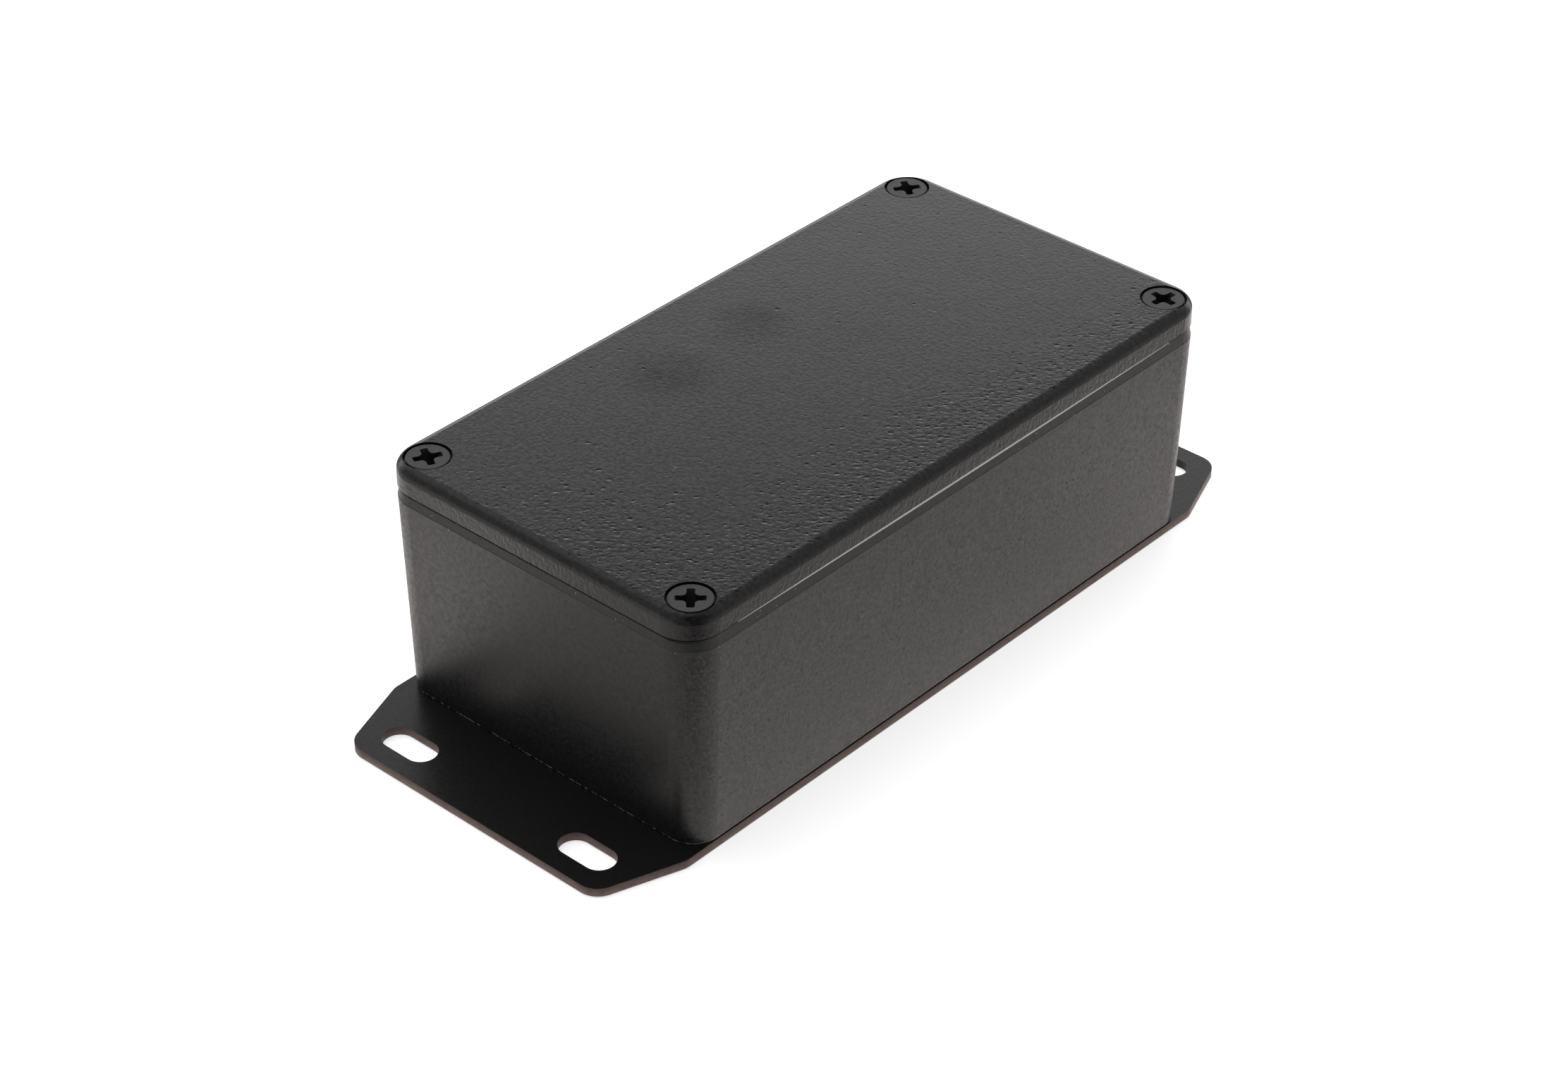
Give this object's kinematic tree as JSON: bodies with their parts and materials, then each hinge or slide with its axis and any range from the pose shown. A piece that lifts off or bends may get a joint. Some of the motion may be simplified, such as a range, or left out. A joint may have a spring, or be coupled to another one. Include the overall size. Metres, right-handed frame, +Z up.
{
  "type": "die cast aluminium enclosure",
  "caption": "Black coated die cast box with drafted walls, a sealed screwed lid and a flat slotted mounting plate under it.",
  "frame": {"origin": "centre of the mounting plate's underside", "axes": "+Z up towards the lid, Y along the length, X across the width"},
  "size_m": [0.0652, 0.1544, 0.0445],
  "materials": {
    "coated_casting": "fine textured satin black powder coat",
    "coated_plate": "fine textured satin black powder coat",
    "black_screw": "satin black",
    "seal": "matt pale silicone"
  },
  "bodies": {
    "base": {"base_box": "coated_casting", "flange_plate": "coated_plate", "flange_screws": "black_screw"},
    "lid": {"lid": "coated_casting", "lid_gasket": "seal", "lid_screws": "black_screw"}
  },
  "joints": [
    {"name": "lid_lift", "type": "slide", "parent": "base", "child": "lid", "axis": [0, 0, 1], "range_m": [0, 0.05]}
  ]
}
